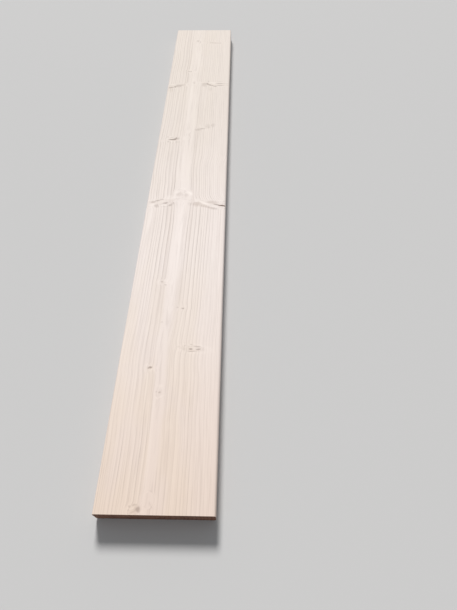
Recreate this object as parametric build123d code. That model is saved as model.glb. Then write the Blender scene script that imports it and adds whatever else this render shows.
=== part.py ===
from build123d import *
import os

# A softwood plank in millimetres, sawn from the heart of the log and planed all round.
# It lies on its lower face: X across the width, Y along the grain, Z up.
# The origin is the middle of the lower face.

# Driving dimensions
LENGTH = 1000.0  # between the two crosscut ends
WIDTH = 120.0  # planed, across the face
THICKNESS = 21.0  # planed, from face to face
ARRIS_RADIUS = 3.0  # rounding that the planer leaves on the four long edges
END_ARRIS = 0.3  # bevel worn on the sharp edge round each crosscut end

# A rounding takes up to this share of the wall that it sits on, so a flat always stays between two
WALL_SHARE = 0.45


def planed_section() -> Sketch:
    """The section that the planer leaves, standing on its lower face in the XZ plane."""
    arris = min(ARRIS_RADIUS, WALL_SHARE * THICKNESS, WALL_SHARE * WIDTH)
    section = RectangleRounded(WIDTH, THICKNESS, arris)
    return Plane.XZ * Pos(0, THICKNESS / 2) * section


def crosscut_plank() -> Part:
    """The planed section run along the grain and crosscut square, with its end edges just broken."""
    stock = extrude(planed_section(), amount=LENGTH / 2, both=True)
    end_edges = stock.faces().filter_by(Plane.XZ).edges()
    end_arris = min(END_ARRIS, WALL_SHARE * ARRIS_RADIUS, WALL_SHARE * THICKNESS)
    return chamfer(end_edges, end_arris)


plank = crosscut_plank()
plank.label = "plank"

os.makedirs("parts", exist_ok=True)
export_step(plank, "parts/plank.step")
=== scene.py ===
"""Dressed model of a planed softwood plank, cut through the heart of its log, lying on a pale floor.

The wood is drawn by one growth law: rings laid round a wandering pith, and branches that leave the
pith and bend the rings round them. The same law is built as nodes twice, once to raise and sink the
plank's own mesh and once to colour it, so faces, edges and end grain belong to one piece of wood.
"""
import logging
import math
from collections.abc import Callable, Mapping, Sequence
from dataclasses import dataclass
from enum import Enum

import bpy
from mathutils import Matrix, Vector


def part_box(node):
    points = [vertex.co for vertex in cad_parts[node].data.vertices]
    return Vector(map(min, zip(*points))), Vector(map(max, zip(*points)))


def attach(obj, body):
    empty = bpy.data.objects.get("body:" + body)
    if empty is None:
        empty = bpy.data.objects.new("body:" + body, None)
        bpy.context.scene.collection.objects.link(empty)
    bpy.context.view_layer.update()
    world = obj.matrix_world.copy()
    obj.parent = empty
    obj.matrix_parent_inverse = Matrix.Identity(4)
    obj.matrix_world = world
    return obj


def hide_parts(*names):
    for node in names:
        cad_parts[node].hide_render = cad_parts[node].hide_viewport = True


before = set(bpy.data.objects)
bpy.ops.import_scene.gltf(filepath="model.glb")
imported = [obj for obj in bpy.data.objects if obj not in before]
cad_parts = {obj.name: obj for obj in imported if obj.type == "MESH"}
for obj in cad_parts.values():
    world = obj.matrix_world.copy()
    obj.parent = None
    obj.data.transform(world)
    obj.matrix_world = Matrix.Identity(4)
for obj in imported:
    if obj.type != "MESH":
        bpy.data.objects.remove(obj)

LOG = logging.getLogger("plank")

MM = 0.001
TO_MM = (1 / MM, 1 / MM, 1 / MM)
SEED_STEP = 41.0  # how far apart the noise is read for two seeds that follow each other
TINY = 0.0001  # keeps a length above nought where something is divided by it
ALONG = 90.0  # a fleck's turn when it lies along the grain
SOFT, FINE, FINEST = 1.0, 2.0, 3.0  # how many times a noise is laid over itself at a smaller scale

Pair = tuple[float, float]
Triple = tuple[float, float, float]
Colour = tuple[float, float, float]
Curve = tuple[Pair, ...]
Slope = tuple[float, ...]  # where a rise starts and ends, then what it goes from and to if not 0 and 1
Pace = Triple  # how often a noise changes for each millimetre across, along and up


class TreeKind(Enum):
    """The two kinds of node tree that the growth law is built in."""

    SHADER = "ShaderNodeTree"
    GEOMETRY = "GeometryNodeTree"


# Arithmetic as nodes


class Reading:
    """A value that nodes work out."""

    def __init__(self, bench: "Bench", socket: bpy.types.NodeSocket) -> None:
        """Keeps the tree's bench and the socket that gives the value."""
        self.bench = bench
        self.socket = socket


def step(
    operation: str, node: str = "Math", gives: str = "Value", swapped: bool = False,
) -> Callable[..., Reading]:
    """Makes a method that works out one operation of a Math or Vector Math node.

    Args:
        operation: the node's operation.
        node: the kind of node, Math or VectorMath.
        gives: the output that is read, Value or Vector.
        swapped: whether the method's owner is the last term and not the first.

    Returns:
        The method, which takes the other terms.
    """
    def method(owner: Reading, *others: object) -> Reading:
        """Works the operation out.

        Args:
            owner: the reading whose method this is.
            *others: the other terms.

        Returns:
            The result, as a place where a vector is read and as a formula otherwise.
        """
        terms = (*others, owner) if swapped else (owner, *others)
        made = owner.bench.node(f"ShaderNode{node}", dict(enumerate(terms)), operation=operation)
        return (Place if gives == "Vector" else Formula)(owner.bench, made.outputs[gives])

    return method


class Formula(Reading):
    """A number, written as plain arithmetic."""

    __add__ = step("ADD")
    __sub__ = step("SUBTRACT")
    __rsub__ = step("SUBTRACT", swapped=True)
    __mul__ = step("MULTIPLY")
    __truediv__ = step("DIVIDE")
    __abs__ = step("ABSOLUTE")
    sign = step("SIGN")
    part = step("FRACT")  # what is left after the whole number is taken off
    whole = step("FLOOR")  # the whole number below
    most = step("MAXIMUM")
    least = step("MINIMUM")
    above = step("GREATER_THAN")

    def ramp(self, slope: Sequence["Number"]) -> "Formula":
        """Runs straight up or down the slope, and stays level past its ends."""
        return self.bench.map_range(self, slope, "LINEAR")

    def ease(self, slope: Sequence["Number"]) -> "Formula":
        """Runs smoothly up or down the slope, and stays level past its ends."""
        return self.bench.map_range(self, slope, "SMOOTHSTEP")


class Place(Reading):
    """A point, a direction or a colour."""

    __add__ = step("ADD", "VectorMath", "Vector")
    __sub__ = step("SUBTRACT", "VectorMath", "Vector")
    __mul__ = step("MULTIPLY", "VectorMath", "Vector")
    cross = step("CROSS_PRODUCT", "VectorMath", "Vector")
    dot = step("DOT_PRODUCT", "VectorMath")
    length = step("LENGTH", "VectorMath")

    def parts(self) -> tuple[Formula, Formula, Formula]:
        """The three parts as numbers."""
        node = self.bench.node("ShaderNodeSeparateXYZ", {0: self})
        return tuple(Formula(self.bench, socket) for socket in node.outputs)


Number = Formula | float
Readings = dict[str, Formula]
Inputs = Mapping[str | int, object]


class Bench:
    """Adds nodes to one tree and joins them up."""

    COLUMNS = 14  # how many nodes stand in a row
    STEP = (190.0, -230.0)  # how far apart they stand
    UNPLACED = (0.5, 0.5)  # where a curve's new point stands until it gets its place

    def __init__(self, tree: bpy.types.NodeTree) -> None:
        """Works on the given tree, from an empty start."""
        self.tree = tree
        tree.nodes.clear()

    def node(self, kind: str, inputs: Inputs | None = None, **settings: object) -> bpy.types.Node:
        """Adds a node, laid out in rows in the order that the nodes are made.

        Args:
            kind: the node's type name.
            inputs: what its inputs get, by their names or places.
            **settings: properties to set on it.

        Returns:
            The new node.
        """
        count = len(self.tree.nodes)
        made = self.tree.nodes.new(kind)
        made.location = (self.STEP[0] * (count % self.COLUMNS), self.STEP[1] * (count // self.COLUMNS))
        for name, value in settings.items():
            setattr(made, name, value)
        for key, value in (inputs or {}).items():
            self.feed(made.inputs[key], value)
        return made

    def feed(self, socket: bpy.types.NodeSocket, value: object) -> None:
        """Gives an input its value.

        Args:
            socket: the input.
            value: a formula or place to link to it, a node whose first output is linked, or a plain value.
        """
        start = value.outputs[0] if isinstance(value, bpy.types.Node) else getattr(value, "socket", value)
        if isinstance(start, bpy.types.NodeSocket):
            self.tree.links.new(start, socket)
        else:
            socket.default_value = start

    def place(self, x: Number, y: Number, z: Number) -> Place:
        """A vector put together from three numbers."""
        return Place(self, self.node("ShaderNodeCombineXYZ", {0: x, 1: y, 2: z}).outputs[0])

    def map_range(self, value: Number, slope: Sequence[Number], kind: str) -> Formula:
        """A Map Range node that stays between its limits.

        Args:
            value: the number to map.
            slope: where the result starts and stops changing, then what it changes from and to.
            kind: how it runs between the two.

        Returns:
            The limited result.
        """
        names = ("Value", "From Min", "From Max", "To Min", "To Max")
        inputs = dict(zip(names, (value, *slope, 0.0, 1.0)))
        # A smooth step keeps to its limits unclamped, and so many clamped ones would overfill Cycles' stack
        clamp = kind == "LINEAR"
        node = self.node("ShaderNodeMapRange", inputs, interpolation_type=kind, clamp=clamp)
        return Formula(self, node.outputs["Result"])

    def curve(self, value: Formula, points: Curve) -> Formula:
        """A Float Curve node through points that are given in plain units.

        Args:
            value: what the curve is read at.
            points: pairs of a reading and what the curve gives there, in rising order.

        Returns:
            The curve's result, in the points' own units.
        """
        starts, heights = zip(*points)
        first, last = starts[0], starts[-1]
        low = min(heights)
        span = max(heights) - low
        node = self.node("ShaderNodeFloatCurve", {"Value": value.ramp((first, last))})
        line = node.mapping.curves[0]
        while len(line.points) < len(points):
            line.points.new(*self.UNPLACED)
        for point, start, height in zip(line.points, starts, heights):
            point.location = ((start - first) / (last - first), (height - low) / span)
            point.handle_type = "AUTO_CLAMPED"
        node.mapping.update()
        return Formula(self, node.outputs[0]) * span + low

    def noise(self, where: Place, detail: float, rough: float = 0.5) -> bpy.types.Node:
        """A Noise Texture node that changes about once for each unit of the given place."""
        inputs = {"Vector": where, "Scale": 1.0, "Detail": detail, "Roughness": rough}
        return self.node("ShaderNodeTexNoise", inputs, noise_dimensions="3D")

    def grey(self, where: Place, detail: float, rough: float = 0.5) -> Formula:
        """Smooth noise between nought and one, a half on average."""
        return Formula(self, self.noise(where, detail, rough).outputs[0])

    def push(self, where: Place, detail: float) -> Place:
        """Smooth noise on each axis, from minus a half to a half."""
        return Place(self, self.noise(where, detail).outputs[1]) - (0.5, 0.5, 0.5)

    def blend(self, share: Number, first: Place | Colour, second: Place | Colour) -> Place:
        """A colour mixed from two.

        Args:
            share: how much of the second colour it has, between nought and one.
            first: the first colour.
            second: the second colour.

        Returns:
            The mixed colour.
        """
        node = self.node("ShaderNodeMix", {0: share}, data_type="RGBA")
        sockets = [s for s in node.inputs if s.type == "RGBA"]
        for socket, colour in zip(sockets, (first, second)):
            self.feed(socket, colour if isinstance(colour, Place) else (*colour, 1.0))
        return Place(self, next(s for s in node.outputs if s.type == "RGBA"))

    def field(self, name: str) -> Place:
        """The mesh's own reading of the given name, Position or Normal."""
        return Place(self, self.node(f"GeometryNodeInput{name}").outputs[0])

    def given(self) -> dict[str, Formula | Place]:
        """The inputs of the bench's own tree, by name."""
        sockets = [s for s in self.node("NodeGroupInput").outputs if s.name]
        return {s.name: (Place if s.type == "VECTOR" else Formula)(self, s) for s in sockets}

    def give(self, **results: object) -> None:
        """Feeds the outputs of the bench's own tree."""
        self.node("NodeGroupOutput", results)

    def use(self, group: bpy.types.NodeTree, label: str = "", **inputs: object) -> Readings:
        """Uses a node group of numbers.

        Args:
            group: the node group.
            label: what the node shows as its title.
            **inputs: what goes to each input, by its name.

        Returns:
            Each output as a formula, by its name.
        """
        node = self.node(group.bl_idname.replace("Tree", "Group"), node_tree=group, label=label)
        for name, value in inputs.items():
            self.feed(node.inputs[name], value)
        return {s.name: Formula(self, s) for s in node.outputs}


def new_group(
    name: str, kind: TreeKind, places: Sequence[str], numbers: Sequence[str], results: Sequence[str],
) -> Bench:
    """Starts a node group of numbers.

    Args:
        name: the group's name.
        kind: which kind of tree it is for.
        places: its vector inputs.
        numbers: its number inputs.
        results: its number outputs.

    Returns:
        A bench on the new group.
    """
    tree = bpy.data.node_groups.new(f"{name} {kind.name.lower()}", kind.value)
    sockets = [("INPUT", "Vector", places), ("INPUT", "Float", numbers), ("OUTPUT", "Float", results)]
    for way, shape, words in sockets:
        for word in words:
            tree.interface.new_socket(name=word, in_out=way, socket_type=f"NodeSocket{shape}")
    return Bench(tree)


# How the tree grew


@dataclass(frozen=True)
class Branch:
    """A branch that left the pith and shows as a knot where the plank's faces cut it.

    Lengths are in millimetres. Heights are counted along the stem from the plank's near end.
    """

    name: str
    root: Triple  # where its axis leaves the pith: across, height, up from the lower face
    outlet: Triple  # another point on its axis, further out
    girth: float  # radius at the root
    spread: float  # radius gained for each millimetre of way
    largest: float  # radius that it never passes
    tone: float  # how much darker than the stem its wood is
    rim: float  # how dark the line round it is
    swell: float = 0.6  # by how many years' growth the rings bend round it
    halo_and_sheen: float = 0.0  # how pale the wood just outside it is, with a painted sheen on the bent grain there
    reach: float = 400.0  # where a stub that healed over ends, from its root

    NUMBERS = ("girth", "spread", "largest", "tone", "rim", "swell", "halo_and_sheen", "reach")

    def way(self) -> Vector:
        """The direction of its axis."""
        return (Vector(self.outlet) - Vector(self.root)).normalized()


@dataclass(frozen=True)
class Fleck:
    """A small dark or pale patch by a knot: bark, resin, a check, smooth pale wood, a painted highlight or
    a painted shadow, as a soft ellipse.
    """

    across: float  # its middle's place, from the plank's middle line, or from the pith for a streak
    height: float  # its middle's place, from the near end
    long: float  # full length
    broad: float  # full breadth
    strength: float  # in hundredths
    turn: float = 0.0  # degrees from the plank's width, towards its far end


Flecks = tuple[Fleck, ...]


@dataclass(frozen=True)
class Growth:
    """The growth law of the stem that the plank was cut from. Lengths are in millimetres."""

    length: float
    thickness: float
    branches: tuple[Branch, ...]
    dark_flecks: Flecks
    brown_flecks: Flecks
    pale_flecks: Flecks
    dark_streaks: Flecks
    pale_streaks: Flecks
    pith_across: Curve  # height, and the pith's place across
    pith_deep: Curve  # height, and the pith's depth below the upper face
    rings: Curve  # distance from the pith, and years grown by then
    lopsided: Curve  # height, and by which share the rings are closer right of the pith
    first_spread: Curve  # height, and by how much the first two rings are wider there
    wobble: float = 1.0  # how far the grain strays in its long waves
    wobble_pace: Pace = (1 / 55, 1 / 240, 1 / 55)
    ripple: float = 0.15  # and in its short ones
    ripple_pace: Pace = (1 / 9, 1 / 45, 1 / 9)
    ragged: float = 1.5  # how far a fleck's outline strays across; along it, and on a knot, by half
    ragged_pace: Pace = (1 / 5, 1 / 5, 1 / 5)
    thin_ragged: Pair = (0.3, 0.175)  # share of it for the thinnest knot, and gained with each mm of radius
    uneven: float = 0.5  # over how many years a ring strays, both ways together
    uneven_pace: Triple = (0.8, 0.004, 3.0)  # for each year and each mm along, and the layer that is read
    knot_edge: Slope = (-0.5, 0.5, 1.0, 0.0)  # how a knot gives way to the stem's wood across its outline
    knot_line: Slope = (0.0, 0.9, 1.0, 0.0)  # how the dark line round a knot fades to both sides
    halo_width: float = 2.4  # half the breadth of the pale wood and painted sheen round a knot
    bend: Slope = (0.0, 10.0, 1.0, 0.0)  # how the bend in the rings dies away from a knot
    branch_ring: float = 0.7  # breadth of a year in a branch
    no_branch: float = -1.0  # what stands for a branch's years outside every branch
    in_branch: Slope = (-1.0, -0.6)  # and the years from which a point belongs to one
    line_pace: Pace = (1 / 7, 1 / 7, 1 / 7)
    line_breaks: Slope = (0.38, 0.6, 0.15, 1.0)  # where the line round a knot breaks off
    fleck_edge: Slope = (0.3, 1.35, 1.0, 0.0)  # how a fleck fades on the way out, its outline being at one
    skin: Pair = (3.0, 0.5)  # depths below the upper face where flecks end and where they are whole

    def branch_group(self, kind: TreeKind) -> bpy.types.NodeTree:
        """The group that adds one branch to what the wood is at a point.

        Args:
            kind: which kind of tree it is for.

        Returns:
            The node group.
        """
        running = tuple(self._untouched())
        numbers = (*Branch.NUMBERS, "ragged", *running)
        bench = new_group("Branch", kind, ("point", "root", "way"), numbers, running)
        given = bench.given()
        offset = given["point"] - given["root"]
        along = offset.dot(given["way"])
        off_axis = offset.cross(given["way"]).length()
        radius = (along.most(0.0) * given["spread"] + given["girth"]).least(given["largest"])
        past = (off_axis - radius).most(along * -1.0).most(along - given["reach"])
        thinnest, gained = self.thin_ragged
        outside = past + given["ragged"] * (radius * gained + thinnest).least(1.0)
        within = outside.ease(self.knot_edge)
        bend = past.ease(self.bend)
        line = abs(outside).ease(self.knot_line)
        halo_and_sheen = abs(outside - self.halo_width).ease((0.0, self.halo_width, 1.0, 0.0))
        bench.give(
            swollen=given["swollen"] + bend * bend * given["swell"],
            knot=given["knot"].most(within * given["tone"]),
            outline=given["outline"].most(line * given["rim"]),
            pale=given["pale"].most(halo_and_sheen * given["halo_and_sheen"]),
            branch_years=given["branch_years"] * (1.0 - within) + off_axis / self.branch_ring * within,
        )
        return bench.tree

    def fleck_group(self, kind: TreeKind) -> bpy.types.NodeTree:
        """The group that adds one fleck to those at a point.

        Args:
            kind: which kind of tree it is for.

        Returns:
            The node group.
        """
        places = ("point", "centre", "long", "broad")
        bench = new_group("Fleck", kind, places, ("strength", "flecked"), ("flecked",))
        given = bench.given()
        offset = given["point"] - given["centre"]
        far = bench.place(offset.dot(given["long"]), offset.dot(given["broad"]), 0.0).length()
        bench.give(flecked=given["flecked"].most(far.ease(self.fleck_edge) * given["strength"]))
        return bench.tree

    def _untouched(self) -> dict[str, float]:
        """What each running result of the branch group is outside every branch."""
        return {"swollen": 0.0, "knot": 0.0, "outline": 0.0, "pale": 0.0, "branch_years": self.no_branch}

    def _grown(self, bench: Bench, kind: TreeKind, bent: Place, ragged: Formula) -> Readings:
        """Every branch in turn, added to the wood at a point.

        Args:
            bench: where the nodes go.
            kind: which kind of tree they are for.
            bent: the point, shaken as the stem's grain is.
            ragged: how far the knots' outlines stray here.

        Returns:
            The running results of the branch group, by name.
        """
        running: Mapping[str, Number] = self._untouched()
        group = self.branch_group(kind)
        near_end = Vector((0.0, self.length / 2, 0.0))
        for branch in self.branches:
            root = Vector(branch.root) - near_end
            numbers = {word: getattr(branch, word) for word in Branch.NUMBERS}
            running = bench.use(
                group, branch.name, point=bent, root=tuple(root), way=tuple(branch.way()), ragged=ragged,
                **numbers, **running,
            )
        return running

    def _flecked(self, bench: Bench, group: bpy.types.NodeTree, point: Place, flecks: Flecks) -> Number:
        """How strongly a list of flecks marks a point.

        Args:
            bench: where the nodes go.
            group: the fleck group.
            point: the point in millimetres.
            flecks: the flecks.

        Returns:
            The strongest fleck's strength there.
        """
        flecked: Number = 0.0
        for fleck in flecks:
            turn = math.radians(fleck.turn)
            half_long, half_broad = fleck.long / 2, fleck.broad / 2
            flecked = bench.use(
                group, point=point, centre=(fleck.across, fleck.height - self.length / 2, self.thickness),
                long=(math.cos(turn) / half_long, math.sin(turn) / half_long, 0.0),
                broad=(-math.sin(turn) / half_broad, math.cos(turn) / half_broad, 0.0),
                strength=fleck.strength / 100, flecked=flecked,
            )["flecked"]
        return flecked

    def group(self, kind: TreeKind) -> bpy.types.NodeTree:
        """The whole growth law as a node group.

        Args:
            kind: which kind of tree it is for.

        Returns:
            The node group. Its point is in millimetres, in the plank's own frame.
        """
        results = ("years", "stem_years", "knot", "outline", "pale", "dark", "across", "swollen")
        bench = new_group("Growth", kind, ("point",), (), results)
        point = bench.given()["point"]
        bent = point + bench.push(point * self.wobble_pace, SOFT) * (self.wobble * 2, 0.0, self.wobble * 2)
        bent = bent + bench.push(point * self.ripple_pace, SOFT) * (self.ripple * 2, 0.0, self.ripple * 2)
        x, y, z = bent.parts()
        height = y + self.length / 2
        across = x - bench.curve(height, self.pith_across)
        up = z - self.thickness + bench.curve(height, self.pith_deep)
        radius = bench.place(across, up, 0.0).length()
        reach = radius + across.most(0.0) * bench.curve(height, self.lopsided)
        stem = bench.curve(reach - bench.curve(height, self.first_spread), self.rings)
        crumpled = bench.push(point * self.ragged_pace, FINE)
        grown = self._grown(bench, kind, bent, crumpled.dot((1.0, 0.0, 0.0)) * self.ragged)
        fleck_group = self.fleck_group(kind)
        torn = point + crumpled * (self.ragged * 2, self.ragged, 0.0)
        skin = z.ramp([self.thickness - depth for depth in self.skin])
        dark = self._flecked(bench, fleck_group, torn, self.dark_flecks) * skin
        # The pale flecks are pale wood with painted highlights and sheen where the grain bends round the
        # knots.
        smooth = self._flecked(bench, fleck_group, torn, self.pale_flecks) * skin
        brown = self._flecked(bench, fleck_group, torn, self.brown_flecks) * skin
        grain = bench.place(across, y, self.thickness)
        dark = dark.most(self._flecked(bench, fleck_group, grain, self.dark_streaks) * skin)
        smooth = smooth.most(self._flecked(bench, fleck_group, grain, self.pale_streaks) * skin)
        by_year, along, layer = self.uneven_pace
        uneven = bench.grey(bench.place(stem * by_year, y * along, layer), SOFT)
        stem_years = stem - grown["swollen"] + (uneven - 0.5) * self.uneven
        in_branch = grown["branch_years"].ease(self.in_branch)
        broken = bench.grey(point * self.line_pace, SOFT).ease(self.line_breaks)
        bench.give(
            years=stem_years * (1.0 - in_branch) + grown["branch_years"] * in_branch,
            stem_years=stem_years, knot=grown["knot"].most(brown), outline=grown["outline"] * broken,
            pale=grown["pale"].most(smooth), dark=dark, across=across, swollen=grown["swollen"],
        )
        return bench.tree


# The plank's body


@dataclass
class PlankBody:
    """The plank itself: the planed section run along the grain, with the relief that the wood gives it.

    Lengths are in millimetres.
    """

    length: float
    width: float
    thickness: float
    growth: Growth
    arris: float = 3.0
    end_arris: float = 0.3
    relief: float = 1.0  # what all the depths below are multiplied by
    seed: int = 7  # for the planer's waves, the dents and the saw marks
    ring_depth: float = 0.045  # how far early wood lies below late wood
    late_wood: Slope = (0.35, 0.95)  # part of the year in which the wood rises
    knot_depth: float = 0.12
    crack_depth: float = 0.28
    wave_depth: float = 0.12  # the planer's slow waves
    wave_pace: Pace = (1 / 33, 1 / 83, 1 / 33)
    dent_depth: float = 0.35  # on the long edges
    dent_pace: Pace = (1 / 9, 1 / 14, 1 / 9)
    dents: Slope = (0.64, 0.78)  # part of the noise that makes a dent
    dent_fade: float = 0.5  # way in from an arris's border where its dents are whole
    saw_depth: float = 0.22  # on the two ends
    saw_pace: Triple = (0.05, 1.4, 0.25)  # for each mm across and up, and the slant for each mm across
    saw_fade: float = 0.2  # way in from an end where its saw marks stop
    crease: float = 30.0  # degrees between two faces from which their edge looks sharp
    cells: tuple[int, int, int] = (112, 376, 16)  # across, along and up
    arris_cells: int = 3  # and how many of them go round each long arris
    name: str = "planed_spruce_plank"

    INPUTS = ("length", "width", "thickness", "arris", "end_arris", "relief", "seed")

    def _measure(self, share: Formula, half: Formula, edge: Formula, cells: int, in_edge: int) -> Formula:
        """Turns a share of the box grid, from minus one to one, into a place with close rows by both edges.

        Args:
            share: the place in the unit grid.
            half: half of the full size.
            edge: breadth of the zone with close rows.
            cells: how many cells the grid has this way.
            in_edge: how many of them lie in each edge zone.

        Returns:
            The place in millimetres.
        """
        bend = 1.0 - 2.0 * in_edge / cells
        inner = abs(share).ramp((0.0, bend, 0.0, half - edge))
        outer = abs(share).ramp((bend, 1.0, 0.0, edge))
        return share.sign() * (inner + outer)

    def _planed(self, bench: Bench, given: Readings) -> Place:
        """Where each point of the box grid lies on the planed plank.

        Args:
            bench: where the nodes go.
            given: the tree's own inputs.

        Returns:
            The place in millimetres.
        """
        u, v, w = bench.field("Position").parts()
        half_x, half_y, half_z = (given[word] / 2 for word in ("width", "length", "thickness"))
        arris, end_arris = given["arris"], given["end_arris"]
        x = self._measure(u, half_x, arris, self.cells[0], self.arris_cells)
        y = self._measure(v, half_y, end_arris, self.cells[1], 1)
        z = self._measure(w, half_z, arris, self.cells[2], self.arris_cells)
        inner_x = x.most(arris - half_x).least(half_x - arris)
        inner_z = z.most(arris - half_z).least(half_z - arris)
        out_x, out_z = x - inner_x, z - inner_z
        far = bench.place(out_x, out_z, 0.0).length().most(TINY)
        rounding = abs(out_x).most(abs(out_z)) / far
        broken = abs(y).ramp((half_y - end_arris, half_y, 1.0, 1.0 - end_arris / arris))
        grow = rounding * broken
        return bench.place(inner_x + out_x * grow, y, inner_z + out_z * grow + half_z)

    def _relief(self, bench: Bench, given: Readings) -> Place:
        """How far each point sinks below the planed surface, as a vector.

        Args:
            bench: where the nodes go.
            given: the tree's own inputs.

        Returns:
            The way that each point moves, in metres.
        """
        point = bench.field("Position") * TO_MM
        wood = bench.use(self.growth.group(TreeKind.GEOMETRY), point=point)
        x, y, z = point.parts()
        shift = given["seed"] * SEED_STEP
        apart = bench.place(shift, shift, shift)
        half_x, half_y, half_z = (given[word] / 2 for word in ("width", "length", "thickness"))
        rings = (1.0 - wood["years"].part().ease(self.late_wood)) * self.ring_depth
        knots = wood["knot"] * self.knot_depth + wood["dark"] * self.crack_depth
        waves = bench.grey(point * self.wave_pace + apart, SOFT) * self.wave_depth
        dents = bench.grey(point * self.dent_pace + apart, FINE).ease(self.dents) * self.dent_depth
        on_arris = (abs(x) - (half_x - given["arris"])).ramp((0.0, self.dent_fade))
        on_arris = on_arris * (abs(z - half_z) - (half_z - given["arris"])).ramp((0.0, self.dent_fade))
        by_x, by_z, slant = self.saw_pace
        saw = bench.place(x * by_x, 0.0, z * by_z + x * slant) + apart
        sawn = bench.grey(saw, FINE) * abs(y).ramp((half_y - self.saw_fade, half_y)) * self.saw_depth
        depth = (rings + knots + waves + dents * on_arris + sawn) * given["relief"] * -MM
        return bench.field("Normal") * bench.place(depth, depth, depth)

    def tree(self, material: bpy.types.Material) -> bpy.types.NodeTree:
        """The Geometry Nodes tree that makes the plank from its sizes.

        Args:
            material: what the plank is dressed in.

        Returns:
            The tree, with its sizes, the strength of its relief and its seed as named inputs.
        """
        tree = bpy.data.node_groups.new("Planed plank", TreeKind.GEOMETRY.value)
        tree.interface.new_socket(name="plank", in_out="OUTPUT", socket_type="NodeSocketGeometry")
        for word in self.INPUTS:
            kind = "NodeSocketInt" if isinstance(getattr(self, word), int) else "NodeSocketFloat"
            tree.interface.new_socket(name=word, in_out="INPUT", socket_type=kind)
        bench = Bench(tree)
        given = bench.given()
        counts = {f"Vertices {axis}": count + 1 for axis, count in zip("XYZ", self.cells)}
        grid = bench.node("GeometryNodeMeshCube", {"Size": (2.0, 2.0, 2.0), **counts})
        planed = self._planed(bench, given) * (MM, MM, MM)
        shaped = bench.node("GeometryNodeSetPosition", {"Geometry": grid, "Position": planed})
        relief = self._relief(bench, given)
        sunk = bench.node("GeometryNodeSetPosition", {"Geometry": shaped, "Offset": relief})
        smooth = bench.node("GeometryNodeSetShadeSmooth", {"Geometry": sunk}, domain="FACE")
        corner = Formula(bench, bench.node("GeometryNodeInputMeshEdgeAngle").outputs["Unsigned Angle"])
        sharp = corner.above(math.radians(self.crease))
        edges = {"Geometry": smooth, "Selection": sharp, "Shade Smooth": False}
        crisp = bench.node("GeometryNodeSetShadeSmooth", edges, domain="EDGE")
        real = bench.node("GeometryNodeRealizeInstances", {"Geometry": crisp})
        dressed = bench.node("GeometryNodeSetMaterial", {"Geometry": real, "Material": material})
        bench.give(plank=dressed)
        return tree

    def build(self, material: bpy.types.Material) -> bpy.types.Object:
        """Makes the plank's mesh and takes it out of its node tree.

        Args:
            material: what the plank is dressed in.

        Returns:
            The finished object, a plain mesh.
        """
        holder = bpy.data.objects.new(self.name, bpy.data.meshes.new(self.name))
        bpy.context.scene.collection.objects.link(holder)
        maker = holder.modifiers.new("Planed plank", "NODES")
        maker.node_group = self.tree(material)
        for socket in maker.node_group.interface.items_tree:
            if socket.in_out == "INPUT":
                maker[socket.identifier] = getattr(self, socket.name)
        seen = bpy.context.evaluated_depsgraph_get()
        mesh = bpy.data.meshes.new_from_object(holder.evaluated_get(seen), depsgraph=seen)
        holder.modifiers.remove(maker)
        holder.data = mesh
        mesh.name = self.name
        return holder


# Finishes


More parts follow.
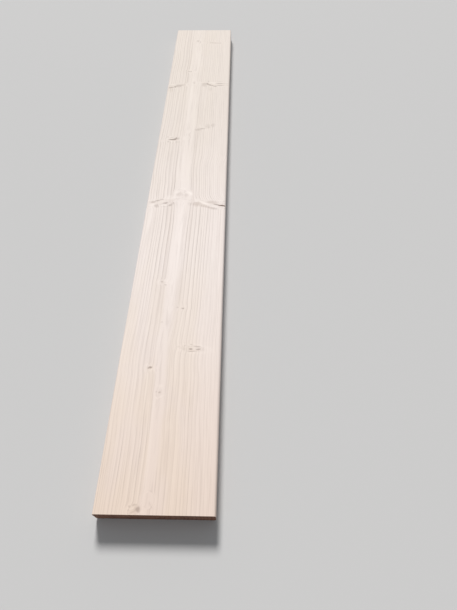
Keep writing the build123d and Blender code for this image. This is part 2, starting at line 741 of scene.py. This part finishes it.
@dataclass(frozen=True)
class PlanedSpruce:
    """Bare planed spruce: pale early wood, thin darker late wood, and brown knots.

    Years are counted from the pith, and a year runs from nought to one, with its late wood at the end.
    Places across are in millimetres from the pith, and heights from the plank's near end.
    """

    early: Colour = (0.885, 0.80, 0.766)
    late: Colour = (0.46, 0.40, 0.374)
    heart: Colour = (0.945, 0.857, 0.822)
    flank: Colour = (0.797, 0.708, 0.67)
    knot: Colour = (0.54, 0.445, 0.385)
    bark: Colour = (0.165, 0.105, 0.08)
    pale: Colour = (0.97, 0.89, 0.852)
    # The end-grain colours below are darker than the wood's own end grain: painted shade of an end turned
    # from the lamp is laid into them, and it shows on both ends.
    end: Colour = (0.21, 0.106, 0.071)
    end_late: Colour = (0.105, 0.05, 0.033)
    end_fresh: Colour = (0.36, 0.193, 0.128)
    near_tint: Colour = (0.922, 0.852, 0.79)  # what the colour is multiplied by at the near end
    far_tint: Colour = (0.92, 0.92, 0.885)  # and towards the far end
    warm_tint: Colour = (1.0, 0.992, 0.955)  # what it is multiplied by in the yellower patches
    near_share: Curve = ((0, 1.0), (100, 0.66), (190, 0.3), (270, 0.12), (340, 0.0), (1000, 0.0))
    far_share: Curve = ((0, 0.0), (400, 0.04), (500, 0.38), (600, 0.62), (700, 0.82), (1000, 0.92))
    warm_share: Curve = ((0, 0.9), (200, 0.75), (300, 0.5), (350, 0.25), (1000, 0.25))
    heart_paleness: Curve = (
        (0, 0.05), (120, 0.0), (230, 0.05), (290, 0.4), (400, 0.62), (450, 0.4), (520, 0.4), (600, 0.3),
        (700, 0.45), (800, 0.45), (880, 0.35), (930, 0.3), (1000, 0.3),
    )
    flank_depth: Curve = ((0, 0.2), (200, 0.3), (300, 0.8), (430, 0.85), (480, 0.75), (1000, 0.6))
    left_lines: Curve = (
        (0, 0.5), (70, 0.5), (110, 0.27), (180, 0.3), (260, 0.43), (340, 0.5), (420, 0.54), (480, 0.64),
        (580, 0.6), (620, 0.5), (700, 0.55), (820, 0.5), (930, 0.44), (1000, 0.3),
    )
    right_lines: Curve = (
        (0, 0.24), (160, 0.26), (260, 0.36), (340, 0.52), (420, 0.54), (500, 0.46), (600, 0.36),
        (700, 0.32), (850, 0.3), (1000, 0.18),
    )
    sides: Slope = (-2.0, 2.0)  # places across where the left lines give way to the right ones
    late_start: Slope = (0.5, 0.95)  # part of the year in which the wood darkens
    late_peak: Slope = (0.8, 0.96)  # and in which it darkens more quickly
    late_shares: Pair = (0.45, 0.55)  # how much of the darkening belongs to each
    late_stop: Slope = (0.97, 1.0, 1.0, 0.0)
    late_strength: float = 1.18
    late_near_pith: Slope = (0.9, 1.3, 0.12, 1.0)  # years in which the lines grow from faint to full
    late_by_knots: Slope = (0.08, 0.4, 1.0, 0.2)  # bend of the rings at which the lines fade
    fresh_start: Slope = (0.0, 0.08)  # the palest wood, right after the late wood
    fresh_stop: Slope = (0.15, 0.45, 1.0, 0.0)
    fresh_strength: float = 0.7
    fresh_years: Slope = (1.5, 2.0)
    ring_pace: Triple = (2.37, 0.0016, 5.0)  # for each year and each mm along, and the layer that is read
    ring_tone: Slope = (0.35, 0.6, 0.4, 1.0)  # how strong one year's line is beside another's
    patch_pace: Pace = (1 / 30, 1 / 130, 1 / 30)
    patches: Slope = (0.3, 0.65, 0.6, 1.0)  # patches in which all lines are fainter
    outer_right: Slope = (44.0, 62.0, 1.0, 0.45)  # places across where the lines grow fainter
    outer_left: Slope = (-58.0, -30.0, 0.6, 1.0)
    heart_years: Slope = (1.4, 1.75, 1.0, 0.0)  # the pale band over the pith
    heart_right: Slope = (2.5, 6.0, 1.0, 0.4)
    heart_left: Slope = (-10.0, -5.0, 0.4, 1.0)
    heart_streaks: Slope = (0.3, 0.6, 0.45, 1.0)
    flank_start: Slope = (1.7, 1.95)  # the darker bands beside it
    flank_stop: Slope = (2.6, 4.2, 1.0, 0.0)
    flank_lost_right: float = 0.4
    flank_streaks: Slope = (0.3, 0.65)
    streak_pace: Pace = (0.2, 0.005, 0.2)
    fibre_pace: tuple[float, ...] = (4.5, 0.014, 0.4, 0.2)  # for each year, and mm along, up and across
    fibres: Slope = (0.45, 0.8, 0.0, 0.33)
    hair_pace: Pace = (2.2, 0.05, 2.2)
    hairs: Slope = (0.2, 0.5, 0.45, 0.0)
    warm_pace: Pace = (1 / 26, 1 / 90, 1 / 26)
    warm_patches: Slope = (0.3, 0.6)
    warm_across: Slope = (34.0, 48.0, 1.0, 0.1)  # places across where they fade
    end_grain: Slope = (0.74, 0.9)  # how squarely a face must cross the grain to show its end
    end_late_wood: Slope = (0.45, 0.9, 0.0, 0.7)
    saw_pace: Triple = (0.5, 1.6, 0.25)  # for each mm across and up, and the slant for each mm across
    saw_marks: Slope = (0.35, 0.75, 0.0, 0.45)
    stain_pace: Pace = (1 / 18, 1 / 18, 1 / 9)
    stains: Slope = (0.35, 0.7, 0.0, 0.35)
    fibre_rough: float = 0.6  # how rough the noise of fibres and saw marks is
    hair_rough: float = 0.65  # and the hairs' own
    roughness: float = 0.78
    late_gloss: float = -0.06  # roughness that late wood adds
    hair_matt: float = 0.08  # and that raised hairs add
    hair_height: float = 0.05  # in millimetres
    specular: float = 0.18

    def _crosscut_with_painted_shade(self, bench: Bench, wood: Readings, point: Place) -> Place:
        """The colour of the end grain, darkened with painted shade: rings, knots, and the rough marks that
        the saw left.

        Args:
            bench: where the nodes go.
            wood: what the growth law gives at the point.
            point: the point in millimetres.

        Returns:
            The colour.
        """
        x, _, z = point.parts()
        by_x, by_z, slant = self.saw_pace
        stain = bench.grey(point * self.stain_pace, FINE).ease(self.stains)
        rough = bench.grey(bench.place(x * by_x, z * by_z + x * slant, 0.0), FINEST, self.fibre_rough)
        colour = bench.blend(wood["years"].part().ease(self.end_late_wood), self.end, self.end_late)
        colour = bench.blend(rough.ease(self.saw_marks), colour, self.end_late)
        colour = bench.blend(stain, colour, self.end_fresh)
        return bench.blend(wood["knot"], colour, self.end_late)

    def _lines(self, bench: Bench, wood: Readings, point: Place, y: Formula, height: Formula) -> Readings:
        """How strongly the year's darkest and palest wood, the heart and its flanks show at a point.

        Args:
            bench: where the nodes go.
            wood: what the growth law gives at the point.
            point: the point in millimetres.
            y: its place along the plank.
            height: its height along the stem.

        Returns:
            The strengths by name: late, fresh, heart and flank.
        """
        years, across = wood["stem_years"], wood["across"]
        year = wood["years"].part()
        first, second = self.late_shares
        late = year.ease(self.late_start) * first + year.ease(self.late_peak) * second
        late = late * year.ease(self.late_stop)
        fresh = year.ease(self.fresh_start) * year.ease(self.fresh_stop)
        by_year, along, layer = self.ring_pace
        tone = bench.grey(bench.place(years.whole() * by_year, y * along, layer), SOFT).ramp(self.ring_tone)
        patch = bench.grey(point * self.patch_pace, FINE).ease(self.patches)
        outward = across.ramp(self.outer_right) * across.ramp(self.outer_left)
        right = across.ease(self.sides)
        strength = bench.curve(height, self.left_lines) * (1.0 - right)
        strength = strength + bench.curve(height, self.right_lines) * right
        fresh = fresh * patch * outward * strength * self.fresh_strength
        late = late * tone * patch * outward * strength * self.late_strength
        late = late * years.ease(self.late_near_pith) * wood["swollen"].ease(self.late_by_knots)
        heart = years.ease(self.heart_years) * across.ramp(self.heart_right) * across.ramp(self.heart_left)
        flank = years.ease(self.flank_start) * years.ease(self.flank_stop)
        flank = flank * bench.curve(height, self.flank_depth) * (1.0 - right * self.flank_lost_right)
        return {"late": late, "fresh": fresh, "heart": heart, "flank": flank}

    def material(self, body: PlankBody) -> bpy.types.Material:
        """Builds the plank's finish from its growth law.

        Args:
            body: the plank, whose growth law and sizes the finish follows.

        Returns:
            The material.
        """
        material = bpy.data.materials.new("planed spruce")
        material.use_nodes = True
        bench = Bench(material.node_tree)
        read = bench.node("ShaderNodeTexCoord")
        point = Place(bench, read.outputs["Object"]) * TO_MM
        endways = abs(Place(bench, read.outputs["Normal"]).dot((0.0, 1.0, 0.0))).ease(self.end_grain)
        wood = bench.use(body.growth.group(TreeKind.SHADER), point=point)
        x, y, z = point.parts()
        height = y + body.length / 2
        lines = self._lines(bench, wood, point, y, height)
        years, heart = wood["stem_years"], lines["heart"]
        by_year, along, up, sideways = self.fibre_pace
        fibre = bench.place(years * by_year, y * along, z * up + x * sideways)
        fibre = bench.grey(fibre, FINEST, self.fibre_rough)
        hair = bench.grey(point * self.hair_pace, FINEST, self.hair_rough)
        streak = bench.grey(point * self.streak_pace, FINE)
        paleness = heart * bench.curve(height, self.heart_paleness) * streak.ease(self.heart_streaks)
        flank = lines["flank"] * streak.ease(self.flank_streaks)
        fresh = lines["fresh"] * years.ease(self.fresh_years)
        # The growth law's pale share is pale wood with painted highlights and sheen round the knots.
        layers = (
            (paleness, self.heart), (flank, self.flank), (lines["late"], self.late), (fresh, self.pale),
            (fibre.ease(self.fibres), self.late), (hair.ease(self.hairs), self.pale),
            (wood["pale"], self.pale), (wood["knot"], self.knot), (wood["outline"], self.bark),
            (wood["dark"], self.bark),
        )
        colour = self.early
        for share, over in layers:
            colour = bench.blend(share, colour, over)
        warm = bench.grey(point * self.warm_pace, SOFT).ease(self.warm_patches) * (1.0 - heart)
        warm = warm * wood["across"].ramp(self.warm_across) * bench.curve(height, self.warm_share)
        near, far = bench.curve(height, self.near_share), bench.curve(height, self.far_share)
        for share, tint in ((warm, self.warm_tint), (near, self.near_tint), (far, self.far_tint)):
            colour = bench.blend(share, colour, colour * tint)
        bumps = {"Strength": 1.0, "Distance": MM, "Height": hair * self.hair_height}
        shader = bench.node("ShaderNodeBsdfPrincipled", {
            "Base Color": bench.blend(endways, colour, self._crosscut_with_painted_shade(bench, wood, point)),
            "Roughness": lines["late"] * self.late_gloss + hair * self.hair_matt + self.roughness,
            "Specular IOR Level": self.specular,
            "Normal": bench.node("ShaderNodeBump", bumps),
        })
        bench.node("ShaderNodeOutputMaterial", {"Surface": shader})
        return material


@dataclass(frozen=True)
class PaleFloor:
    """A matte pale floor."""

    colour: Colour = (0.6, 0.6, 0.605)
    roughness: float = 0.9
    specular: float = 0.1
    side: float = 12.0  # metres

    def build(self) -> bpy.types.Object:
        """Makes the floor at the height that the plank lies at, as part of the stage.

        Returns:
            The floor.
        """
        material = bpy.data.materials.new("pale floor")
        material.use_nodes = True
        bench = Bench(material.node_tree)
        shader = bench.node("ShaderNodeBsdfPrincipled", {
            "Base Color": (*self.colour, 1.0),
            "Roughness": self.roughness,
            "Specular IOR Level": self.specular,
        })
        bench.node("ShaderNodeOutputMaterial", {"Surface": shader})
        mesh = bpy.data.meshes.new("floor")
        half = self.side / 2
        corners = [(-half, -half, 0), (half, -half, 0), (half, half, 0), (-half, half, 0)]
        mesh.from_pydata(corners, [], [range(len(corners))])
        mesh.materials.append(material)
        floor = bpy.data.objects.new("floor", mesh)
        bpy.context.scene.collection.objects.link(floor)
        return floor


# Light and camera


@dataclass(frozen=True)
class Studio:
    """A broad, even lamp beyond the far end and a little to the left, under a pale sky."""

    backdrop: Colour = (0.8, 0.805, 0.81)
    sky: float = 0.3  # strength of its light on the plank
    sky_colour: Colour = (0.97, 0.985, 1.0)
    key_from: Triple = (-0.13, 0.78, 0.62)
    key_spread: float = 14.0  # degrees across, seen from the plank
    key_strength: float = 3.65
    key_colour: Colour = (1.0, 0.985, 0.96)

    def _sky(self) -> bpy.types.World:
        """Makes the sky: plain light on the plank, and the backdrop to the camera and in reflections.

        Returns:
            The world.
        """
        world = bpy.data.worlds.new("even sky")
        world.use_nodes = True
        bench = Bench(world.node_tree)
        lit = bench.node("ShaderNodeBackground", {"Color": (*self.sky_colour, 1.0), "Strength": self.sky})
        seen = bench.node("ShaderNodeBackground", {"Color": (*self.backdrop, 1.0)})
        path = bench.node("ShaderNodeLightPath").outputs
        direct = Formula(bench, path["Is Camera Ray"])
        for ray in ("Is Glossy Ray", "Is Transmission Ray"):
            direct = direct.most(Formula(bench, path[ray]))
        either = bench.node("ShaderNodeMixShader", {0: direct, 1: lit, 2: seen})
        bench.node("ShaderNodeOutputWorld", {"Surface": either})
        return world

    def build(self) -> None:
        """Lights the scene."""
        bpy.context.scene.world = self._sky()
        lamp = bpy.data.lights.new("key", "SUN")
        lamp.angle = math.radians(self.key_spread)
        lamp.energy = self.key_strength
        lamp.color = self.key_colour
        key = bpy.data.objects.new("key", lamp)
        away = Vector(self.key_from).normalized()
        key.matrix_world = Matrix.Translation(away) @ away.to_track_quat("Z", "Y").to_matrix().to_4x4()
        bpy.context.scene.collection.objects.link(key)
        bpy.context.scene.view_settings.view_transform = "Standard"


@dataclass(frozen=True)
class Viewpoint:
    """Where the camera stands: above the near end, looking down along the plank."""

    place: Triple = (78.75, -577.34, 485.14)  # millimetres
    look: Triple = (-0.01941, 0.57284, -0.81944)
    head: Triple = (-0.00856, 0.81947, 0.57306)
    focal_pixels: float = 444.7
    image_height: float = 610.0  # pixels
    sensor: float = 36.0  # millimetres
    nearest: float = 0.01  # metres, as is the next
    furthest: float = 50.0

    def build(self) -> bpy.types.Object:
        """Makes the camera and gives it to the scene.

        Returns:
            The camera.
        """
        data = bpy.data.cameras.new("camera")
        data.sensor_width = self.sensor
        data.lens = self.focal_pixels / self.image_height * self.sensor
        data.clip_start = self.nearest
        data.clip_end = self.furthest
        camera = bpy.data.objects.new("camera", data)
        look = Vector(self.look).normalized()
        right = look.cross(Vector(self.head)).normalized()
        head = right.cross(look)
        turn = Matrix((right, head, -look)).transposed()
        camera.matrix_world = Matrix.Translation(Vector(self.place) * MM) @ turn.to_4x4()
        bpy.context.scene.collection.objects.link(camera)
        bpy.context.scene.camera = camera
        return camera


# This plank


PITH_ACROSS: Curve = (
    (0, -6.3), (60, -6.3), (100, -7.5), (145, -7.7), (175, -9), (205, -8.2), (230, -7), (280, -6.2),
    (345, -5.5), (400, -5), (450, -6.5), (482, -7), (540, -9), (600, -9), (660, -8), (740, -8.3),
    (820, -8), (870, -7.3), (905, -8.5), (1000, -9),
)
PITH_DEEP: Curve = (
    (0, 8.6), (60, 8.8), (145, 8.6), (200, 8.2), (230, 7.2), (300, 6.6), (380, 6.3), (405, 5), (430, 3),
    (448, 1.8), (490, 2.6), (600, 4), (700, 4), (772, 2.6), (850, 4), (1000, 5),
)
RINGS: Curve = (
    (0, 0), (8, 1), (13, 2), (17.5, 3), (23.2, 4), (28.7, 5), (32.7, 6), (36.1, 7), (39.8, 8), (43.8, 9),
    (48.2, 10), (52, 11), (55.5, 12), (59, 13), (63, 14), (66.5, 15), (70, 16), (74, 17), (78, 18),
)
LOPSIDED: Curve = ((0, 0), (430, 0), (462, 0.2), (520, 0.2), (560, 0.1), (1000, 0.1))
FIRST_SPREAD: Curve = ((0, 0), (425, 0), (465, 2), (1000, 2))

BRANCHES = (
    Branch("lower whorl, up left", (-9, 449, 14), (-11.5, 455, 21), 3.2, 0.3, 5.0, 0.09, 0.03, 1.0, 0.1),
    Branch("lower whorl, up right", (-6, 448, 14), (-1.5, 453, 21), 2.8, 0.3, 4.4, 0.08, 0.04, 1.0, 0.1),
    Branch("lower whorl, left", (-9, 446, 19.2), (-60, 432, 19.8), 1.0, 0.1, 6.0, 0.08, 0.1, 0.55, 0.06),
    Branch("lower whorl, right", (-5, 444, 19.2), (60, 430, 20.4), 1.0, 0.085, 5.4, 0.06, 0.12, 0.3, 0.08),
    Branch("lower whorl, down left", (-8, 447, 18), (-34, 436, 0), 1.2, 0.14, 7.0, 0.5, 0.4, 1.0),
    Branch("lower whorl, down right", (-6, 447, 18), (17, 439, 0), 1.2, 0.16, 6.5, 0.5, 0.5, 1.0),
    Branch("upper whorl, up", (-9, 777, 18), (-8.5, 779, 24), 1.6, 0.2, 2.6, 0.08, 0.04, 0.8, 0.2),
    Branch("upper whorl, left", (-10, 774, 18.6), (-60, 764, 20.2), 0.8, 0.06, 3.0, 0.1, 0.2, 0.7),
    Branch("upper whorl, right", (-8, 776, 18.6), (60, 771, 20.4), 0.8, 0.06, 4.0, 0.06, 0.2, 0.8),
    Branch("upper whorl, down", (-9, 776, 18), (4, 770, 0), 1.0, 0.16, 5.5, 0.55, 0.5, 1.0),
    Branch("upper whorl, down left", (-9, 775, 18), (-44, 764, 0), 1.0, 0.1, 5.0, 0.5, 0.5, 1.0),
    Branch("between, right", (-9, 618, 18.6), (36, 639, 21.6), 0.4, 0.02, 1.2, 0.06, 0.0, 0.25, 0.0, 46),
    Branch("between, left", (-9, 600, 16.5), (-35, 595, 21), 0.5, 0.03, 1.2, 0.3, 0.2, 0.4),
    Branch("upper, small", (-9, 820, 17), (-20.5, 821, 21), 0.5, 0.06, 1.2, 0.1, 0.08, 0.3),
    Branch("far, middle", (-9, 942, 16), (-11, 946, 21), 0.6, 0.1, 1.5, 0.3, 0.3, 0.5),
    Branch("far, right", (-9, 942, 16), (28, 940, 21), 0.6, 0.04, 1.6, 0.2, 0.1, 0.4),
    Branch("mid, left", (-9, 282, 15), (-19, 283, 21), 0.5, 0.08, 1.4, 0.1, 0.08, 0.4, 0.2),
    Branch("mid, right", (-9, 240, 14), (7, 242, 21), 0.5, 0.04, 1.2, 0.05, 0.0, 0.3),
    Branch("near, eye", (-9.5, 186, 11), (26, 183, 21), 0.8, 0.1, 3.4, 0.05, 0.06, 0.2, 0.15),
    Branch("near, left", (-12.5, 156, 13.5), (-22.2, 157, 21), 0.5, 0.07, 1.3, 0.2, 0.12, 0.25, 0.1),
    Branch("near, pith side", (-11, 122, 13.5), (-8, 127, 21), 0.5, 0.06, 1.0, 0.15, 0.0, 0.2),
    Branch("near end, left", (-6, 2, 13), (-19, 3, 21), 0.5, 0.1, 2.2, 0.1, 0.06, 0.7, 0.1),
    Branch("near end, healed", (-6, 14, 10), (-7, 14, 18), 0.8, 0.12, 2.2, 0.4, 0.3, 1.6, 0.0, 6.5),
)


def flecks(*rows: tuple[float, ...]) -> Flecks:
    """Flecks from rows of their numbers, in the order that Fleck has them."""
    return tuple(Fleck(*row) for row in rows)


def streaks(*rows: tuple[float, ...]) -> Flecks:
    """Flecks that lie along the grain, from rows of their other numbers."""
    return tuple(Fleck(*row, ALONG) for row in rows)


DARK_FLECKS = flecks(
    # Lower whorl: left, right, and over the pith
    (-50.5, 437.5, 10, 4.4, 20, 14), (-43.5, 441, 9, 3.6, 34, 16), (-37.5, 443.5, 8, 3, 28),
    (-31.2, 435.3, 9, 4.4, 46, 12), (-38, 432.5, 6, 1.6, 16, 20), (-31, 427.5, 12, 1.8, 16),
    (-24, 430.5, 6, 5, 36, 30), (-20, 435, 5, 8, 16, -10), (-44.5, 429, 8, 8, 28), (14, 434, 12, 9, 8),
    (24, 430.2, 16, 5, 5, -18), (35, 426.3, 16, 4.5, 13, -14), (43, 423.7, 12, 5, 20, -8),
    (36, 436.5, 16, 4, 8, -6), (46, 432.5, 12, 3, 50, -14), (55.5, 430.2, 18, 3.2, 100, -6),
    (40, 440.5, 12, 2, 14, -2), (57, 439, 3, 3, 20), (6, 434, 8, 9, 10), (-11.5, 455, 9, 9, 12),
    # The last fleck on the next line, a soft band under the pith's disc, is a painted shadow.
    (-1.5, 453, 7, 8, 11), (-4, 461, 3, 7, 10, 10), (-6, 446, 18, 5, 5),
    # Near eye
    (24, 182.5, 5.5, 2.6, 50), (33, 182.4, 6, 2.6, 42, 10), (25, 179.4, 11, 1.6, 32, 2),
    (31, 186.3, 11, 1.8, 30, -8), (24, 188.8, 4, 1.8, 22), (16.5, 187.5, 4, 1.8, 14, 30),
    (15.5, 183, 2.5, 6, 10), (38.5, 183, 2.5, 5, 5), (9, 186, 4, 3, 10, 30),
    # Between the whorls, left
    (-35.5, 594.4, 12, 3.2, 62, -4), (-30.8, 596, 5, 4, 66, 20), (-29, 597.8, 3.4, 7, 48),
    (-26, 597.6, 8, 8, 20), (-42, 588.5, 3, 3, 30), (-44, 602, 2.4, 8, 14, 10), (-36.5, 601, 5, 3, 20),
    (-24.5, 588, 5, 7, 10), (-33.6, 587, 10, 1.8, 20, 90), (-38.6, 586, 9, 1.8, 14, 90),
    (-28.9, 588, 8, 1.8, 20, 90),
    # Upper whorl: left, then the rest
    (-52, 761, 14, 4, 36, 12), (-45, 763.7, 5, 6, 48), (-38.5, 767, 13, 11, 25, 10), (-31, 770, 8, 6, 12),
    (17.2, 774.5, 9, 4, 42, -70), (22, 770, 10, 5, 45, -28), (27, 768, 8, 4.5, 34, -14),
    # The last fleck on the next line, under the right-hand knot, is a painted shadow.
    (32, 766, 8, 5, 34, -10), (19, 783, 3, 5, 20), (11.5, 771, 13, 16, 17), (24, 755, 6, 16, 10),
    (41, 775.5, 16, 3.4, 32), (41, 768.4, 16, 3.4, 28), (41, 783, 15, 3, 10), (-9, 779, 5.5, 13, 11),
    # Between the whorls, right
    (7.4, 623.5, 12, 8, 22, 6), (14.6, 626.6, 11, 3.8, 28, 4), (26, 630.5, 6, 7, 17), (24, 634, 10, 14, 10),
    (33, 636.5, 8.5, 13, 15),
    # Near end
    (-15.4, 5.2, 5, 5.5, 38, -20), (-19.4, 9.3, 6, 2.2, 20, 14), (-23.8, 8, 3, 2.4, 20),
    (-20.4, 3, 7, 2.2, 16, 24), (-24.6, 4.6, 2.6, 1.6, 12), (-4, 9, 9, 2.4, 8, 120),
    # Near knots
    (-21.8, 158, 4.8, 3, 50, 16), (-23.6, 156.6, 2.2, 2, 30), (-7.4, 126.7, 2.8, 2.4, 22),
    (-11.5, 127.5, 3, 1.6, 12),
    # Above the upper whorl
    (-22.2, 821, 3.8, 4.4, 26), (-18.2, 821, 3.4, 4.4, 26), (-11, 950, 6, 8, 20), (-6, 944, 4, 9, 13),
    (25, 940.5, 26, 8, 6, -8),
    # Middle knots
    (10, 241, 4.4, 2.6, 38), (2.6, 243.2, 4, 2.6, 22), (-21.2, 284.6, 4.4, 3, 20),
    (-16.2, 279, 4, 3, 20, -20), (-14.7, 220.5, 3, 3, 12),
)
BROWN_FLECKS = flecks(
    (-50, 437.5, 9, 5, 30, 14), (17, 433.5, 16, 12, 36), (28, 429.3, 18, 6.5, 34, -18),
    (37, 426, 16, 5, 22, -12), (40, 437, 20, 6, 34, -6), (-53, 752, 12, 16, 16), (-54, 761, 8, 5, 30, 10),
    (-35, 595, 12, 5, 30), (-17, 6, 9, 7, 20),
)
# Pale flecks round the knots: paler wood with painted highlights and sheen laid on, where the bent grain
# catches the light.
PALE_FLECKS = flecks(
    # Lower whorl
    (-15.5, 460, 10, 6, 70, 50), (-7, 468, 14, 4, 40), (3.5, 457.5, 13, 7, 100, -50),
    (-25, 441, 12, 8, 25, -10), (-37, 438.5, 12, 4, 40, 14), (-34, 430, 10, 3, 35, 5),
    (-51, 431, 12, 7, 80, 10), (28.5, 435, 19, 5.5, 100, -26), (41, 429, 18, 4.5, 50, -8),
    (51, 436.5, 10, 3, 35), (52, 441.5, 10, 3, 45), (15.5, 440.5, 6, 8, 90, 20),
    (22.5, 438.8, 10, 4.5, 80, -20), (-25, 447, 18, 13, 40),
    # Upper whorl
    (27.5, 777, 14, 8, 75, -10), (-51, 771, 12, 8, 25), (42, 771.8, 14, 2, 8), (42, 779.5, 14, 3, 20),
    # Near knots
    (-11, 120.5, 6, 2.2, 50, -40), (-4.5, 122, 6, 2.2, 40, 35), (-8, 135, 10, 4, 25),
    (-19.8, 155.8, 3, 2.2, 70), (-25, 161, 7, 5, 35, -20),
    # Near eye
    (28, 184.6, 12, 1.8, 10), (34, 188.7, 7, 2, 35, -10), (43, 185, 4, 6, 30), (17.5, 185.5, 4, 2, 40),
    (11, 181, 6, 4, 25, 30),
    # Ends and middle
    (-8, 22, 6, 3, 30), (-20.5, 828, 10, 5, 20), (-21.6, 6, 5, 1.8, 40, 30), (-16.6, 10, 3, 1.8, 35, 40),
    (-24.8, 6.4, 2.4, 1.4, 30), (6.4, 242, 3, 3, 30),
    # Between the whorls
    (-39, 603, 7, 4, 42), (-36, 587, 9, 1.6, 30, 90), (-31.2, 587, 9, 1.6, 40, 90), (-43.4, 598, 3, 6, 30),
    (-35, 589, 9, 8, 15), (-17, 600, 4, 14, 20, 10), (10, 634, 4, 9, 20), (15, 630.5, 9, 3, 20),
    (22, 623, 7, 5, 20), (-2, 622, 4, 10, 15),
)
# Streaks run with the grain, so their place across is counted from the pith
DARK_STREAKS = streaks(
    (12.3, 56, 46, 3, 8), (11.3, 214, 44, 3, 6), (10.5, 266, 44, 3, 6), (12, 350, 130, 3, 4),
    (14.5, 540, 190, 3, 5), (-14.5, 520, 150, 3.5, 5), (-23, 540, 90, 3, 4), (-19.2, 655, 260, 3.5, 4.5),
    (-37, 640, 260, 4, 2.5), (-23, 885, 190, 5, 6), (18, 690, 130, 10, 3), (-10.5, 138, 40, 4, 5),
    (-22.6, 408, 50, 3.5, 5), (14, 690, 120, 3, 3), (8, 265, 110, 7, 8), (8, 160, 130, 7, 4),
    (28, 160, 110, 9, 3), (14, 600, 70, 9, 4), (-9.8, 620, 70, 3.5, 5), (-12.3, 797, 50, 4, 8),
    (5.6, 803, 44, 4, 6), (1.2, 757, 40, 3.5, 5), (-2.2, 912, 34, 2.5, 6), (2.3, 914, 34, 2.5, 6),
)
PALE_STREAKS = streaks(
    (-6, 360, 170, 6, 15), (2, 365, 150, 4, 40), (51, 350, 150, 3, 45), (-47, 402, 60, 5, 50),
    (20, 385, 90, 3, 30), (25.5, 385, 90, 2.5, 30), (-5.2, 65, 130, 4, 45), (-40.5, 150, 270, 3, 12),
    (-29.5, 110, 210, 2.5, 15), (22, 25, 50, 5, 12), (52, 90, 190, 3, 22), (57, 70, 150, 3, 25),
    (-7.5, 190, 60, 4, 20), (-0.5, 262, 100, 7, 30), (-15.2, 690, 200, 3.5, 35), (-3.8, 715, 210, 6, 40),
    (6.8, 670, 200, 4, 35), (-10.5, 520, 130, 3.5, 30), (6.8, 505, 90, 6, 40), (-3.3, 520, 120, 4.5, 35),
    (-11.5, 855, 110, 3.5, 35), (3.4, 870, 130, 6, 25), (-3.7, 905, 80, 4, 30), (40, 780, 240, 3, 15),
    (-5, 765, 50, 3, 30), (15.2, 185, 90, 3, 35), (-15.2, 132, 70, 3, 35), (9.8, 772, 34, 2.5, 30),
    (6.9, 908, 36, 3, 35), (50, 515, 150, 5, 25), (56, 920, 120, 4, 15),
)


def main() -> None:
    """Builds the plank, its finish, the stage and the camera."""
    logging.basicConfig(level=logging.INFO, format="%(name)s: %(message)s")
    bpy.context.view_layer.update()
    low, high = (Vector(corner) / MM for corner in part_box("plank"))
    size = high - low
    growth = Growth(
        size.y, size.z, BRANCHES, DARK_FLECKS, BROWN_FLECKS, PALE_FLECKS, DARK_STREAKS, PALE_STREAKS,
        PITH_ACROSS, PITH_DEEP, RINGS, LOPSIDED, FIRST_SPREAD,
    )
    body = PlankBody(size.y, size.x, size.z, growth)
    plank = body.build(PlanedSpruce().material(body))
    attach(plank, "root")
    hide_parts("plank")
    LOG.info("%s: %d faces", plank.name, len(plank.data.polygons))
    PaleFloor().build()
    Studio().build()
    Viewpoint().build()


if __name__ == "__main__":
    main()
